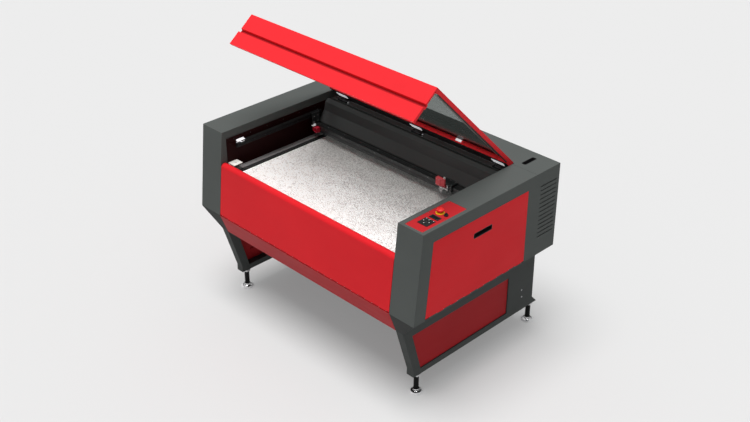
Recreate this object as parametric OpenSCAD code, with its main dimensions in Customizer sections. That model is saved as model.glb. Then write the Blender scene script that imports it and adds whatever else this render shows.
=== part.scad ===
// Free-standing CO2 laser cutter: machine body between two side casings on a
// two-leg stand, hinged lid, drop-down front door, moving gantry and lift table.
// Frame: X to the right seen from the front, Y to the back, Z up, floor at Z 0.

/* [Body] */
// Overall width across the two side casings
body_w = 1676; // [1600:2:1760]
// Width of each side casing
casing_w = 166; // [150:1:175]
// Sheet thickness of the casings
sheet = 3; // [2:0.5:3.5]
// Height of the casing top above the floor
top_z = 1068; // [1060:1:1080]
// Height of the fold in the front face
bend_z = 570; // [566:1:574]

/* [Lid] */
// How far the lid is open
lid_open = 45.2; // [0:0.1:60]
// Thickness of the lid's frame rails
lid_t = 32; // [28:1:36]
lid_side_t = 22; // [18:1:26]
lid_rise = 4; // [0:0.5:6]
// Width of the top flange along each side of the lid
lid_rail_w = 24; // [20:1:60]

/* [Motion] */
// Radius of a table lift screw
screw_r = 8; // [6:0.5:9]
// Running clearance of shafts in their holes
run_clear = 0.05; // [0.02:0.01:0.1]
// Height of the table top
table_z = 837; // [800:1:838]

/* [Exhaust] */
// Outer radius of an exhaust collar
collar_r = 50.8; // [40:0.1:60]

/* [Hidden] */
$fn = 48;

hx = body_w / 2;            // outer face of a casing
ix = hx - casing_w;         // inner face of a casing
rear_y = 520;
front_top_y = -515.7;
bend_y = -570;
slope = (bend_y - front_top_y) / (top_z - bend_z);      // dY per dZ, negative downwards
function front_y(z) = front_top_y + (top_z - z) * slope;
chin_bot = [-521.7, 444.6];
floor_z = 450;
stand_x = ix + 50;

// lid hinge line and the frame of the lid's front panel
lid_ay = 338.35;
lid_az = top_z - 8;
lid_x = ix - 1.2;
lid_len = 199;
lid_front_y = -528;         // front edge of the closed lid, just proud of the casings
lid_d = [slope * cos(atan(slope)), -cos(atan(slope))];  // down the front slope
lid_n = [-cos(atan(slope)), -slope * cos(atan(slope))]; // out of the front slope
function lp(u, n) = [lid_front_y + lid_d[0] * u + lid_n[0] * n, top_z + lid_d[1] * u + lid_n[1] * n];

hinge_x = [-583, 11, 600];
fd_ax = [-566, 574.5];      // front door hinge line (Y, Z)
sd_ax = [hx - 2.6, bend_z + 5.4]; // side door hinge line (X, Z)
screw_pos = [[-640, -455], [640, -455], [-640, 192], [640, 192]];
foot_pos = [[-697, -390], [697, -390], [-697, 532], [697, 532]];
collar_x = 330;
collar_z = 560;
stem_r = 14;                // stem of a levelling foot
panel_a = [700, -499];
panel_b = [815, -186];
key_c = [762, -415];
estop_c = [749, -305];
lock_c = [788, -305];

GREY = [0.27, 0.29, 0.285];
DARK = [0.12, 0.13, 0.13];
RED = [0.78, 0.1, 0.14];
BLACK = [0.03, 0.03, 0.03];
ALU = [0.75, 0.75, 0.76];

// prism from a Y-Z outline, along X
module yz(x0, len, pts) { translate([x0, 0, 0]) rotate([90, 0, 90]) linear_extrude(len) polygon(pts); }
// prism from an X-Z outline, along Y
module xz(y0, len, pts) { translate([0, y0 + len, 0]) rotate([90, 0, 0]) linear_extrude(len) polygon(pts); }
module box(a, b) { translate(a) cube(b - a); }
module zcyl(p, z0, z1, r) { translate([p[0], p[1], z0]) cylinder(h = z1 - z0, r = r); }
module xcyl(x0, x1, y, z, r) { translate([x0, y, z]) rotate([0, 90, 0]) cylinder(h = x1 - x0, r = r); }
module ycyl(y0, y1, x, z, r) { translate([x, y0, z]) rotate([-90, 0, 0]) cylinder(h = y1 - y0, r = r); }
module lid_place() { translate([0, lid_ay, lid_az]) rotate([-lid_open, 0, 0]) translate([0, -lid_ay, -lid_az]) children(); }
// rectangle with round corners, in its own X-Y plane
module rrect(w, h, r) {
  union() {
    square([w - 2 * r, h], center = true);
    square([w, h - 2 * r], center = true);
    for (sx = [-1, 1], sy = [-1, 1]) translate([sx * (w / 2 - r), sy * (h / 2 - r)]) circle(r = r);
  }
}

// ---------- stand ----------
function stand_pts() = [[-500, bend_z], [-500, chin_bot[1]], chin_bot, [-437, 165], [-438, 127], [570, 125], [528, 171], [524, bend_z]];
function stand_win(e) = [[-452 - e, 400 + e], [-385 - e, 161 - e], [305 + e, 163 - e], [307 + e, 396 + e]];
module stand_frame(s) {
  color(GREY) mirror([s < 0 ? 1 : 0, 0, 0]) difference() {
    yz(ix, 50, stand_pts());
    // hollow of the folded box section
    difference() {
      yz(ix + sheet, 50 - 2 * sheet, [[-497, bend_z - sheet], [-497, 444.6 - 3], [-517, 441], [-433.5, 165], [-434.5, 130], [556, 128.2], [524.5, 168], [521, bend_z - sheet]]);
      yz(ix, 50, stand_win(3));
    }
    // window for the infill panel
    yz(ix - 1, 52, stand_win(0));
    // holes for the two foot stems
    for (p = [foot_pos[1], foot_pos[3]]) zcyl(p, 120, 137, stem_r + run_clear);
    // cable slot in the head plate
    box([ix + 15, -60, bend_z - 10], [ix + 35, 60, bend_z + 1]);
  }
}
module stand_panel(s) {
  color([0.55, 0.09, 0.12]) mirror([s < 0 ? 1 : 0, 0, 0]) union() {
    yz(ix + 41, 3, stand_win(-0.4));
    // stiffening swages behind the sheet
    for (z = [230, 330]) box([ix + 36, -340, z - 6], [ix + 41.5, 260, z + 6]);
  }
}
module foot(i) {
  color(ALU) translate([foot_pos[i][0], foot_pos[i][1], 0]) rotate_extrude($fn = 64) polygon([
    [0, 0], [34, 0], [36, 2], [36, 5], [30, 8], [18, 12], [17, 14], [17, 24], [stem_r, 24], [stem_r, i > 1 ? 137 : 152], [stem_r - 1.5, i > 1 ? 138.5 : 153.5], [0, i > 1 ? 138.5 : 153.5]]);
}
module corner_gussets() {
  color(DARK) for (s = [0, 1]) mirror([s, 0, 0]) difference() {
    intersection() {
      yz(ix, casing_w, [[bend_y, bend_z], chin_bot, [-500, chin_bot[1]], [-500, bend_z]]);
      xz(-600, 120, [[ix, bend_z], [hx, bend_z], [stand_x, chin_bot[1]], [ix, chin_bot[1]]]);
    }
    intersection() {
      yz(ix + sheet, casing_w, [[bend_y + 4.5, bend_z - sheet], [chin_bot[0] + 3.5, chin_bot[1] + sheet], [-499, chin_bot[1] + sheet], [-499, bend_z - sheet]]);
      xz(-600, 120, [[ix, bend_z], [hx - 7, bend_z], [stand_x - 5, chin_bot[1]], [ix, chin_bot[1]]]);
    }
  }
}

// ---------- casings ----------
function casing_pts(e) = [[front_top_y + e, top_z - e], [bend_y + e * 1.15, bend_z + e], [rear_y - e, bend_z + e], [rear_y - e, top_z - e]];
function door_pts(e) = [[-443 + e, 1000 - e], [-488.0 + e, bend_z + 7.7 + e], [267 - e, bend_z + 7.7 + e], [267 - e, 1000 - e]];
module casing_shell(door_sill) {
  difference() {
    yz(ix, casing_w, casing_pts(0));
    yz(ix + sheet, casing_w - 2 * sheet, casing_pts(sheet));
    // service opening behind the chamber wall
    box([ix - 1, -470, 600], [ix + 10, 490, 1000]);
    // door or side panel opening, run down to the sill
    yz(hx - 10, 20, [[-443, 1000], [-443 + (1000 - door_sill) * slope, door_sill], [267, door_sill], [267, 1000]]);
  }
}
module casing_left() { color(GREY) mirror([1, 0, 0]) casing_shell(bend_z + 20); }
module casing_right() {
  color(GREY) difference() {
    casing_shell(bend_z + sheet);
    box([panel_a[0], panel_a[1], top_z - 10], [panel_b[0], panel_b[1], top_z + 10]);
    for (i = [0:12]) translate([hx, 433, 985 - i * 25.3]) cube([20, 130, 7], center = true);
    translate([711, 420, top_z - 10]) linear_extrude(20) rrect(30, 100, 10);
  }
  // fixed knuckles of the side door hinge, on the sill
  color(GREY) for (i = [0:6]) difference() {
    union() {
      ycyl(-450 + i * 100, -405 + i * 100, sd_ax[0], sd_ax[1], 2.4);
      box([hx - 5, -450 + i * 100, bend_z + sheet - 0.5], [hx - 0.4, -405 + i * 100, sd_ax[1] - 1.5]);
    }
    ycyl(-460 + i * 100, -400 + i * 100, sd_ax[0], sd_ax[1], 1.2 + run_clear);
  }
}
module side_panel_left() {
  color([0.66, 0.14, 0.17]) mirror([1, 0, 0]) union() {
    yz(hx - 3, 3, [[-442.3, 999.4], [-442.3 + (999.4 - bend_z - 21) * slope, bend_z + 21], [266.4, bend_z + 21], [266.4, 999.4]]);
    yz(hx - 8, 5.2, [[-425, 980], [-465, 610], [250, 610], [250, 980]]);
  }
}
module deck_pull() {
  color(BLACK) translate([711, 420, 0]) difference() {
    union() {
      translate([0, 0, top_z - 28]) linear_extrude(28) rrect(29.4, 99.4, 9.7);
      translate([0, 0, top_z - 6]) linear_extrude(3) rrect(40, 112, 12);
    }
    translate([0, 0, top_z - 25]) linear_extrude(40) rrect(24, 94, 8);
  }
}

// ---------- chamber ----------
module chamber_wall(s) {
  color(DARK) mirror([s < 0 ? 1 : 0, 0, 0]) union() {
    yz(ix - 3, 3, [[-490, 1022], [-490, floor_z + 3], [517, floor_z + 3], [517, 1015], [349.5, 1015], [284, 1015], [284, 1022]]);
    // folded rib above the rail
    box([ix - 6, -470, 985], [ix - 2.5, 170, 988]);
  }
}
module chamber_floor() {
  color(DARK) difference() {
    box([-ix, -516, floor_z], [ix, 517, floor_z + 3]);
    for (p = screw_pos) zcyl(p, floor_z - 1, floor_z + 10, screw_r + run_clear);
  }
}
module rear_panel() {
  color(GREY) difference() {
    box([-ix, 517, floor_z], [ix, 520, top_z - 3]);
    for (s = [-1, 1]) ycyl(500, 530, s * collar_x, collar_z, collar_r - 1.5);
    box([-620, 510, 640], [-568, 530, 690]);
    for (i = [0:7], s = [-1, 1]) box([s * 450 - 60, 510, 700 + i * 20], [s * 450 + 60, 530, 706 + i * 20]);
  }
}
module rear_deck() {
  color(GREY) union() {
    box([-ix, 346, top_z - 3], [ix, rear_y, top_z]);
    box([-ix, 346, 1016], [ix, 349, top_z]);
    box([-ix, 292, 1016], [ix, 349, 1019]);
    box([-ix, 292, 1016], [ix, 295, 1026]);
  }
}
module front_chin() {
  color([0.55, 0.09, 0.12]) yz(-ix + 0.5, 2 * ix - 1, [[bend_y, bend_z], chin_bot, [-485, chin_bot[1]], [-485, chin_bot[1] + 3], [-519.5, chin_bot[1] + 3], [-566.3, bend_z - 3], [-505, bend_z - 3], [-505, bend_z]]);
  color(DARK) for (i = [0:12]) difference() {
    union() {
      xcyl(-650 + i * 100, -605 + i * 100, fd_ax[0], fd_ax[1], 2.9);
      box([-650 + i * 100, fd_ax[0] - 1.5, bend_z - 1], [-605 + i * 100, fd_ax[0] + 2.4, fd_ax[1] - 1.8]);
    }
    xcyl(-655 + i * 100, -600 + i * 100, fd_ax[0], fd_ax[1], 1.5 + run_clear);
  }
}
module exhaust_plenum() {
  color(DARK) difference() {
    yz(-ix + 7.4, 2 * ix - 14.8, [[264, 1033.9], [240, 1017], [228, 969], [180, 918], [180, 898], [234, 886], [234, 456], [238, 456], [238, 890], [184, 901], [184, 916.4], [231.8, 967], [243.6, 1014.6], [264.1, 1029], [288.6, 1011.4], [291, 1014.6]]);
    // extraction slots low in the duct face
    for (i = [0:11], k = [0:4]) box([-600 + i * 104, 220, 500 + k * 17], [-544 + i * 104, 250, 507 + k * 17]);
  }
}
module exhaust_collars() {
  color(ALU) for (s = [-1, 1]) translate([s * collar_x, 520, collar_z]) rotate([-90, 0, 0]) difference() {
    union() { cylinder(h = 3, r = collar_r + 12, $fn = 96); cylinder(h = 50, r = collar_r, $fn = 96); }
    translate([0, 0, -1]) cylinder(h = 60, r = collar_r - 1.5, $fn = 96);
  }
}

// ---------- controls ----------
key_off = [[0, -18], [0, 18], [-18, 0], [18, 0]];
module control_panel() {
  color([0.8, 0.13, 0.18]) difference() {
    union() {
      box([panel_a[0] + 0.5, panel_a[1] + 0.5, top_z - 3], [panel_b[0] - 0.5, panel_b[1] - 0.5, top_z - 0.6]);
      box([panel_a[0] - 8, panel_a[1] + 4, top_z - 6], [panel_b[0] + 8, panel_b[1] + 8, top_z - 3]);
    }
    box([key_c[0] - 32, key_c[1] - 32, top_z - 20], [key_c[0] + 32, key_c[1] + 32, top_z + 5]);
    box([734, -370, top_z - 20], [792, -340, top_z + 5]);
    zcyl(estop_c, top_z - 20, top_z + 5, 11.2);
    zcyl(lock_c, top_z - 20, top_z + 5, 8.2);
  }
}
module keypad_bezel() {
  color(BLACK) difference() {
    union() {
      box([key_c[0] - 38, key_c[1] - 38, top_z - 12], [key_c[0] + 40, -334, top_z - 6]);
      box([key_c[0] - 31.5, key_c[1] - 31.5, top_z - 7], [key_c[0] + 31.5, key_c[1] + 31.5, top_z + 1.5]);
      box([734.5, -369.5, top_z - 7], [791.5, -340.5, top_z + 2]);
    }
    for (o = key_off) zcyl(key_c + o, top_z - 20, top_z + 10, 7.05);
    box([740, -365, top_z + 1], [786, -345, top_z + 5]);
  }
}
module jog_key(i) {
  color([0.85, 0.85, 0.83]) translate([key_c[0] + key_off[i][0], key_c[1] + key_off[i][1], 0])
    rotate_extrude($fn = 40) polygon([[0, top_z - 14], [8.5, top_z - 14], [8.5, top_z - 12.05], [7, top_z - 12.05], [7, top_z + 3.2], [6.2, top_z + 4], [0, top_z + 4.3]]);
}
module estop_base() {
  color([0.95, 0.75, 0.05]) difference() {
    union() { zcyl(estop_c, top_z - 0.6, top_z + 3, 22); zcyl(estop_c, top_z + 3, top_z + 6, 15); zcyl(estop_c, top_z - 26, top_z - 0.5, 11); }
    zcyl(estop_c, top_z - 27, top_z + 7, 8.05);
  }
}
module estop_button() {
  color([0.85, 0.05, 0.06]) translate([estop_c[0], estop_c[1], 0]) rotate_extrude($fn = 64)
    polygon([[0, top_z - 24], [8, top_z - 24], [8, top_z + 10.5], [16, top_z + 11], [19.5, top_z + 13.5], [20, top_z + 17], [18, top_z + 21], [12, top_z + 23.6], [0, top_z + 24.5]]);
}
module key_switch() {
  color(ALU) difference() {
    union() { zcyl(lock_c, top_z - 0.6, top_z + 6, 11); zcyl(lock_c, top_z - 22, top_z - 0.5, 8); }
    zcyl(lock_c, top_z - 10, top_z + 7, 5.05);
  }
}
module panel_key() {
  color([0.1, 0.1, 0.1]) union() {
    zcyl(lock_c, top_z - 9, top_z + 7.5, 5);
    translate([lock_c[0] - 1.4, lock_c[1], top_z + 7.2]) rotate([90, 0, 90]) linear_extrude(2.8) polygon([[-4, 0], [4, 0], [6.5, 2.5], [6.5, 6], [4.5, 8], [-4.5, 8], [-6.5, 6], [-6.5, 2.5]]);
  }
}

// ---------- doors ----------
module right_side_door() {
  color([0.66, 0.14, 0.17]) difference() {
    union() {
      difference() {
        yz(hx - 18, 18, door_pts(0.8));
        yz(hx - 19, 16, door_pts(4));
      }
      // moving knuckles with their tabs
      for (i = [0:6]) {
        ycyl(-400 + i * 100, -355 + i * 100, sd_ax[0], sd_ax[1], 2.25);
        box([hx - 3, -400 + i * 100, sd_ax[1] + 1.7], [hx - 0.4, -355 + i * 100, bend_z + 10]);
      }
    }
    for (i = [0:6]) ycyl(-405 + i * 100, -350 + i * 100, sd_ax[0], sd_ax[1], 1.2 + run_clear);
    translate([hx + 1, -82, 907]) rotate([0, -90, 0]) linear_extrude(40) rrect(32, 140, 8);
  }
}
module side_door_pull() {
  color(BLACK) translate([0, -82, 907]) difference() {
    union() {
      translate([hx, 0, 0]) rotate([0, -90, 0]) linear_extrude(30) rrect(31.4, 139.4, 7.7);
      translate([hx - 3, 0, 0]) rotate([0, -90, 0]) linear_extrude(3) rrect(42, 150, 10);
    }
    translate([hx + 5, 0, 0]) rotate([0, -90, 0]) linear_extrude(32) rrect(26, 134, 6);
  }
}
// rounded upper edge of the front door: centre, and the point where it meets the slope
fd_r = 23;
fd_c = [-514.9, 863];
fd_n = [-0.99411, 0.1084];
module front_door() {
  x0 = -ix + 3;
  w = 2 * ix - 6;
  color(RED) difference() {
    union() {
      yz(x0, w, [[front_y(bend_z + 8), bend_z + 8], fd_c + fd_r * fd_n, fd_c + (fd_r - 3) * fd_n, [front_y(bend_z + 8) + 3, bend_z + 8]]);
      difference() {
        xcyl(x0, x0 + w, fd_c[0], fd_c[1], fd_r);
        xcyl(x0 + 3, x0 + w - 3, fd_c[0], fd_c[1], fd_r - 3);
        box([x0 - 1, fd_c[0] - 40, fd_c[1] - 40], [x0 + w + 1, fd_c[0] + 40, fd_c[1]]);
      }
      box([x0, fd_c[0] + fd_r - 3, 850], [x0 + w, fd_c[0] + fd_r, fd_c[1]]);
      // end flanges
      for (x = [x0, x0 + w - 3]) yz(x, 3, [[front_y(bend_z + 12) + 1, bend_z + 12], fd_c + (fd_r - 1) * [-1, 0], fd_c + (fd_r - 1) * [1, 0], [fd_c[0] + fd_r - 1, 852], [-530, 590]]);
      // inner stiffener rails
      for (z = [640, 740]) yz(x0 + 3, w - 6, [[front_y(z) + 2.5, z], [front_y(z) + 22, z], [front_y(z) + 22, z + 3], [front_y(z) + 2.5, z + 3]]);
      for (i = [0:12]) {
        xcyl(-600 + i * 100, -555 + i * 100, fd_ax[0], fd_ax[1], 2.9);
        box([-600 + i * 100, fd_ax[0] - 2.4, fd_ax[1] + 2.1], [-555 + i * 100, fd_ax[0] + 0.5, bend_z + 10]);
      }
    }
    for (i = [0:12]) xcyl(-605 + i * 100, -550 + i * 100, fd_ax[0], fd_ax[1], 1.5 + run_clear);
  }
}
module door_hinge_pins() {
  color(ALU) { xcyl(-654, 650, fd_ax[0], fd_ax[1], 1.5); ycyl(-454, 250, sd_ax[0], sd_ax[1], 1.2); }
}

// ---------- lid ----------
module lid_frame() {
  y0 = lid_front_y + 3;
  y1 = 331;
  color(RED) lid_place() translate([0, 0, lid_rise]) difference() {
    box([-lid_x, y0, top_z - lid_t], [lid_x, y1, top_z]);
    // window opening in the top sheet
    box([-lid_x + lid_rail_w, y0 + 34, top_z - 60], [lid_x - lid_rail_w, y1 - 75, top_z + 5]);
    // inside of the folded side walls, with the step that holds the glass
    box([-lid_x + 2.5, y0 + 30, top_z - 60], [lid_x - 2.5, y1 - 55, top_z - 2]);
    // shallow side walls and front rail
    box([-lid_x - 1, y0 - 1, top_z - lid_t - 1], [lid_x + 1, y1 - 55, top_z - lid_side_t]);
    // hollows of the rear and front rails, open underneath
    box([-lid_x + 2.5, y1 - 52.5, top_z - 60], [lid_x - 2.5, y1 - 30, top_z - 2.5]);
    box([-lid_x + 2.5, y1 - 27, top_z - 60], [lid_x - 2.5, y1 - 2.5, top_z - 2.5]);
    box([-lid_x + 2.5, y0 - 1, top_z - 60], [lid_x - 2.5, y0 + 27.5, top_z - 2.5]);
  }
}
module lid_front_panel() {
  color([0.95, 0.2, 0.24]) lid_place() translate([0, 0, lid_rise]) union() {
    yz(-lid_x, 2 * lid_x, [lp(0, 0), lp(95, 0), lp(99, -12), lp(113, -12), lp(117, 4), lp(lid_len, 4), lp(lid_len - 2, -14), lp(lid_len - 4.5, -14), lp(lid_len - 2.6, 1.5), lp(119.5, 1.5), lp(115.5, -14.5), lp(96.5, -14.5), lp(92.5, -2.5), lp(0.5, -2.5)]);
    for (x = [-lid_x, lid_x - 2.5]) yz(x, 2.5, [lp(1, 0), lp(95, 0), lp(99, -12), lp(113, -12), lp(117, 4), lp(lid_len, 4), lp(lid_len - 2, -12), lp(122, -10), lp(117, -17), lp(95, -17), lp(90, -10), lp(lid_side_t + 1.8, -10), lp(lid_side_t + 1.8, -2.6), lp(1, -2.6)]);
  }
}
module lid_window() {
  color([0.2, 0.22, 0.22, 0.5]) lid_place() translate([0, 0, lid_rise]) box([-lid_x + 3.2, lid_front_y + 33.6, top_z - 10], [lid_x - 3.2, 331 - 55.6, top_z - 5]);
}
module lid_seal() {
  color(BLACK) lid_place() translate([0, 0, lid_rise]) {
    difference() {
      box([-lid_x + 3.2, lid_front_y + 33.6, top_z - 5], [lid_x - 3.2, 331 - 55.6, top_z - 2]);
      box([-lid_x + lid_rail_w, lid_front_y + 40, top_z - 6], [lid_x - lid_rail_w, 331 - 75, top_z - 1]);
    }
    // edge strips under the side walls
    for (s = [0, 1]) mirror([s, 0, 0]) box([lid_x - 5.5, lid_front_y + 36, top_z - lid_side_t - 5], [lid_x, 331 - 56, top_z - lid_side_t]);
  }
}
module lid_hinge_leaves() {
  color(ALU) lid_place() for (x = hinge_x, s = [-1, 1]) difference() {
    union() {
      xcyl(x + s * 26 - 9, x + s * 26 + 9, lid_ay, lid_az, 7);
      box([x + s * 26 - 9, 331, lid_az - 6], [x + s * 26 + 9, lid_ay, lid_az + 7]);
    }
    xcyl(x + s * 26 - 10, x + s * 26 + 10, lid_ay, lid_az, 3 + run_clear);
  }
}
module lid_hinge_blocks() {
  color(ALU) for (x = hinge_x) {
    difference() {
      union() {
        xcyl(x - 15, x + 15, lid_ay, lid_az, 6.8);
        box([x - 15, lid_ay, lid_az - 12], [x + 15, 346, lid_az]);
      }
      xcyl(x - 16, x + 16, lid_ay, lid_az, 3 + run_clear);
    }
    difference() {
      box([x - 34, 297, 1019], [x + 34, 322, 1032]);
      for (s = [-1, 1]) zcyl([x + s * 22, 309], 1028, 1034, 5);
    }
  }
}
module lid_hinge_pins() {
  color([0.6, 0.6, 0.62]) for (x = hinge_x) union() {
    xcyl(x - 38, x + 38, lid_ay, lid_az, 3);
    xcyl(x - 41, x - 36, lid_ay, lid_az, 5);
  }
}

// ---------- motion system ----------
module y_rails() {
  color(DARK) for (s = [0, 1]) mirror([s, 0, 0]) difference() {
    box([ix - 17, -430, 955], [ix - 3, 205, 979]);
    for (z = [961, 971]) box([ix - 18, -440, z], [ix - 14, 210, z + 3]);
  }
}
module gantry_beam() {
  color([0.2, 0.21, 0.21]) union() {
    difference() {
      box([-641, 127, 880], [641, 162, 920]);
      box([-638, 130, 884], [638, 159, 916]);
      box([-642, 126, 896], [642, 129, 904]);
      box([-642, 134, 914], [642, 140, 922]);
      for (x = [-500:200:500]) box([x, 140, 878], [x + 60, 150, 890]);
    }
    for (s = [0, 1]) mirror([s, 0, 0]) {
      box([641, 118, 880], [650, 172, 986]);
      box([640, 118, 982], [665, 172, 986]);
    }
  }
}
module gantry_mirror_mount() {
  color(RED) difference() {
    box([-612, 100, 884], [-588, 127, 914]);
    translate([-600, 99, 900]) rotate([-90, 0, 0]) cylinder(h = 20, r = 8);
  }
  color(ALU) box([-632, 108, 884], [-612, 127, 906]);
}
module x_belt() {
  color(BLACK) difference() {
    translate([0, 169.5, 913]) rotate([90, 0, 0]) linear_extrude(6) rrect(1220, 16, 7.9);
    translate([0, 175, 913]) rotate([90, 0, 0]) linear_extrude(20) rrect(1216.4, 12.4, 6.1);
  }
  color(ALU) for (s = [-1, 1]) difference() {
    ycyl(162, 171, s * 601.9, 913, 6.1);
    ycyl(161, 172, s * 601.9, 913, 2.5);
  }
}
module carriage_plate() {
  color([0.2, 0.2, 0.21]) union() {
    box([350, 119, 886], [446, 126.5, 930]);
    box([350, 119, 923.5], [446, 172, 930]);
    box([380, 171.8, 906], [416, 175, 930]);
  }
}
module head_cover() {
  color([0.98, 0.36, 0.38]) translate([0, 0, 914]) linear_extrude(44) polygon([[350, 118.5], [350, 99], [352, 97], [381, 97], [404, 111], [404, 118.5]]);
}
module lens_nozzle() {
  color([0.9, 0.9, 0.9]) difference() {
    union() {
      translate([386, 106.5, 0]) rotate_extrude($fn = 48) polygon([[0, 876], [4, 876], [11, 892], [11.5, 894], [11.5, 914], [0, 914]]);
      box([404.5, 96, 908], [440, 118.5, 917]);
      box([386, 96, 908], [440, 118.5, 913.5]);
    }
    zcyl([386, 106.5], 870, 915, 3);
  }
}
module table_frame() {
  color(ALU) difference() {
    union() {
      box([-666, -492, 800], [666, 222, 803]);
      for (s = [-1, 1]) box([s * 637 - 29, -492, 802], [s * 637 + 29, 222, table_z - 1]);
      box([-666, -492, 802], [666, -484, table_z - 1]);
      box([-666, 216, 802], [666, 222, table_z - 1]);
      for (i = [-2:2]) box([i * 230 - 10, -484, 802], [i * 230 + 10, 217, 822]);
      for (p = screw_pos) zcyl(p, 778, 802, 16);
    }
    for (p = screw_pos) zcyl(p, 770, 860, screw_r + run_clear);
  }
}
module honeycomb_bed() {
  color([0.8, 0.79, 0.78]) difference() {
    box([-592, -480, 822], [592, 214, table_z]);
    box([-588, -476, 820], [588, 210, table_z - 3]);
  }
}
module lift_screw(i) {
  color([0.6, 0.6, 0.6]) union() {
    zcyl(screw_pos[i], floor_z - 4, 832, screw_r);
    zcyl(screw_pos[i], floor_z + 4, floor_z + 16, 22);
    zcyl(screw_pos[i], floor_z + 3.2, floor_z + 4.2, 26);
    zcyl(screw_pos[i], floor_z + 15, floor_z + 17, 26);
  }
}

// ---------- laser and electrics ----------
module laser_tubes() {
  color(ALU) for (z = [640, 780]) difference() {
    box([-420, 300, z], [420, 400, z + 110]);
    for (x = [-400:40:400]) box([x - 12, 290, z + 92], [x + 12, 410, z + 112]);
    ycyl(290, 320, -380, z + 40, 12);
  }
  color(DARK) for (x = [-380, 360]) box([x, 300, floor_z + 3], [x + 20, 400, 640]);
  color(DARK) for (x = [-380, 360]) box([x, 300, 750], [x + 20, 400, 780]);
}
module power_supply() {
  color(ALU) difference() {
    box([-820, -100, bend_z + 3], [-720, 200, 733]);
    for (i = [0:9]) box([-825, -80 + i * 28, 600], [-815, -68 + i * 28, 710]);
  }
}
module cooling_fans() {
  color(BLACK) for (z = [750, 905]) difference() {
    box([hx - 29, 373, z - 60], [hx - 3, 493, z + 60]);
    translate([hx - 30, 433, z]) rotate([0, 90, 0]) difference() {
      cylinder(h = 30, r = 56);
      cylinder(h = 30, r = 20);
      for (a = [0:45:135]) rotate([0, 0, a]) translate([-58, -3, 5]) cube([116, 6, 8]);
    }
  }
}
module power_inlet() {
  color(BLACK) difference() {
    union() { box([-619, 495, 641], [-569, 521, 689]); box([-626, 520, 634], [-562, 523, 696]); }
    box([-612, 505, 650], [-576, 524, 680]);
  }
  color(ALU) for (x = [-603, -594, -585]) box([x - 1, 504, 660], [x + 1, 519, 668]);
}
module corner_bracket() {
  color([0.95, 0.93, 0.88]) difference() {
    union() { box([-668.8, -488, 874], [-616, -428, 878]); box([-669, -488, 840], [-665, -428, 878]); }
    zcyl([-640, -455], 870, 880, 4);
  }
}

stand_frame(-1);  // stand_frame_left
stand_frame(1);  // stand_frame_right
stand_panel(-1);  // stand_panel_left
stand_panel(1);  // stand_panel_right
foot(0);  // leveling_foot_front_left
foot(1);  // leveling_foot_front_right
foot(2);  // leveling_foot_rear_left
foot(3);  // leveling_foot_rear_right
corner_gussets();
casing_left();
casing_right();
side_panel_left();
chamber_wall(-1);  // chamber_wall_left
chamber_wall(1);  // chamber_wall_right
chamber_floor();
rear_panel();
rear_deck();
front_chin();
exhaust_plenum();
exhaust_collars();
deck_pull();
control_panel();
keypad_bezel();
jog_key(0);  // jog_key_front
jog_key(1);  // jog_key_back
jog_key(2);  // jog_key_left
jog_key(3);  // jog_key_right
estop_base();
estop_button();
key_switch();
panel_key();
right_side_door();
side_door_pull();
front_door();
door_hinge_pins();
lid_frame();
lid_front_panel();
lid_window();
lid_seal();
lid_hinge_leaves();
lid_hinge_blocks();
lid_hinge_pins();
y_rails();
gantry_beam();
gantry_mirror_mount();
x_belt();
carriage_plate();
head_cover();
lens_nozzle();
table_frame();
honeycomb_bed();
lift_screw(0);  // lift_screw_front_left
lift_screw(1);  // lift_screw_front_right
lift_screw(2);  // lift_screw_rear_left
lift_screw(3);  // lift_screw_rear_right
laser_tubes();
power_supply();
cooling_fans();
power_inlet();
corner_bracket();
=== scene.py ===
import bpy, bmesh, math, random
from mathutils import Vector, Matrix


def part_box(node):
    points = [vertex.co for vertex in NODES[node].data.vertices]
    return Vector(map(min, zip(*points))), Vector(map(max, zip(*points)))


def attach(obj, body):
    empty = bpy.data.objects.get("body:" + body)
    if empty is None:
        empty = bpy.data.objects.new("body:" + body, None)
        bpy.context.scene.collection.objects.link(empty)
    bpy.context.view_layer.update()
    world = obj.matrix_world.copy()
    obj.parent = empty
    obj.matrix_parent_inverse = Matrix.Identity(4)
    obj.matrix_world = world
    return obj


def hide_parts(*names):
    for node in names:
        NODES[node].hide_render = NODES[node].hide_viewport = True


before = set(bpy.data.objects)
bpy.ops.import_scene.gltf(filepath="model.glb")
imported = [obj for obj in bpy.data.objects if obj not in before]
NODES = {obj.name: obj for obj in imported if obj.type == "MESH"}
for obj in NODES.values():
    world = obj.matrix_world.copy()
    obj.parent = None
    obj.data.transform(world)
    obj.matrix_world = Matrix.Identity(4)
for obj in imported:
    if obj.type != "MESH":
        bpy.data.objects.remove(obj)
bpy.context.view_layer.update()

sc = bpy.context.scene
sc.view_settings.view_transform = "Standard"
sc.view_settings.look = "None"

# ------------------------------------------------------------------ camera
cam_d = bpy.data.cameras.new("camera")
cam_d.lens = 54.40
cam_d.sensor_width = 36.0
cam_d.clip_start, cam_d.clip_end = 0.05, 200
cam = bpy.data.objects.new("camera", cam_d)
sc.collection.objects.link(cam)
cam.location = (3.8717, -3.8216, 3.7975)
aim = Vector((0.0655, -0.0691, 0.700)) - Vector(cam.location)
cam.rotation_mode = "QUATERNION"
cam.rotation_quaternion = aim.to_track_quat("-Z", "Y")
sc.camera = cam

# ------------------------------------------------------------------ shader helpers
MATS = {}


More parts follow.
